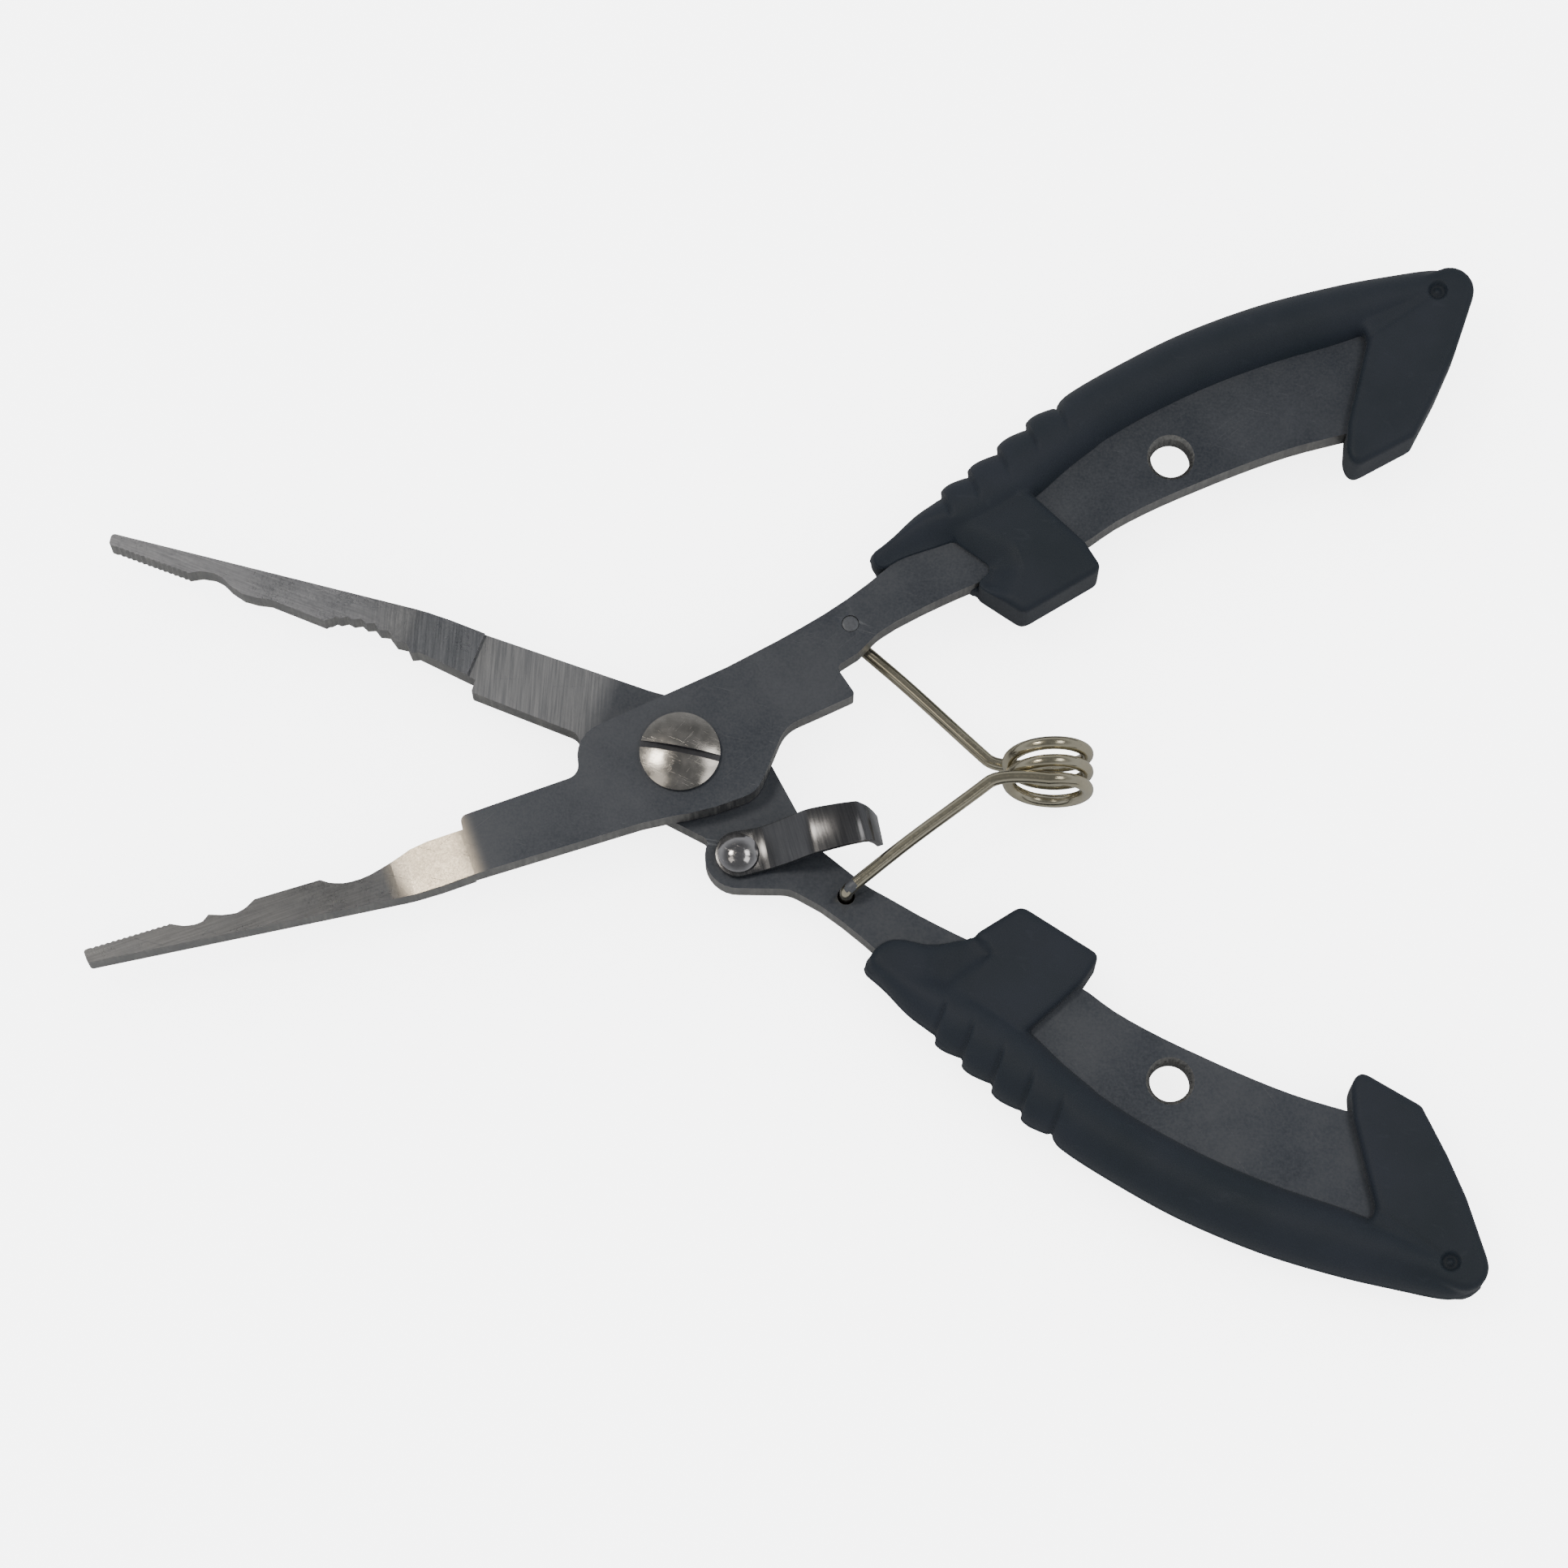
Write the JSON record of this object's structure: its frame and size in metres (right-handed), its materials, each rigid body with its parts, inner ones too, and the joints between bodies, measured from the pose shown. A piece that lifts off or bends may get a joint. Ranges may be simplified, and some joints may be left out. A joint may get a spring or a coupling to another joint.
{
  "type": "fishing pliers",
  "caption": "Long-nose fishing pliers with a toothed jaw, side cutter, swinging latch, coil return spring and soft hooked grips, sprung open",
  "frame": {"origin": "the middle of the open tool's box; the pivot's axis stands at x = -15.471 mm, and z = 0 is half way between the two plates", "axes": "+Z is along the pivot's axis, towards the screw head; +X runs along the middle line towards the handles, and the jaws point to -X; +Y is towards the front plate's handle"},
  "size_m": [0.1971, 0.151, 0.0145],
  "materials": {
    "plate_steel": "dark gunmetal, brushed, with lighter ground jaws",
    "bright_steel": "bright nickel, lightly scratched",
    "spring_steel": "drawn spring wire, slightly warm",
    "soft_grip": "matt soft rubber, dark blue-black"
  },
  "bodies": {
    "rear_half": {"rear_plate": "plate_steel", "rear_grip": "soft_grip", "pivot_screw": "bright_steel", "pivot_nut": "bright_steel", "latch_rivet": "bright_steel"},
    "front_half": {"front_plate": "plate_steel", "front_grip": "soft_grip"},
    "latch": {"latch_strip": "bright_steel"},
    "spring_rear": {"spring_rear_half": "spring_steel"},
    "spring_front": {"spring_front_half": "spring_steel"}
  },
  "joints": [
    {"name": "main_pivot", "type": "hinge", "parent": "rear_half", "child": "front_half", "pos_m": [-0.01547, 0, 0], "axis": [0, 0, 1], "range_deg": [-39.4, 3]},
    {"name": "latch_pivot", "type": "hinge", "parent": "rear_half", "child": "latch", "pos_m": [-0.00695, -0.01391, 0], "axis": [0, 0, 1], "range_deg": [-4, 6.4]},
    {"name": "spring_foot", "type": "hinge", "parent": "rear_half", "child": "spring_rear", "pos_m": [0.00844, -0.01956, 0], "axis": [0, 0, 1], "range_deg": [-36.8, 2.9], "deforming": ["spring_rear_half"]},
    {"name": "spring_coil", "type": "hinge", "parent": "spring_rear", "child": "spring_front", "pos_m": [0.03693, 0, 0], "axis": [0, 0, 1], "range_deg": [-2.7, 34.2], "deforming": ["spring_front_half"]}
  ],
  "couplings": [
    {"joint": "spring_foot", "follows": "main_pivot", "ratio": 0.933},
    {"joint": "spring_coil", "follows": "main_pivot", "ratio": -0.8656}
  ]
}
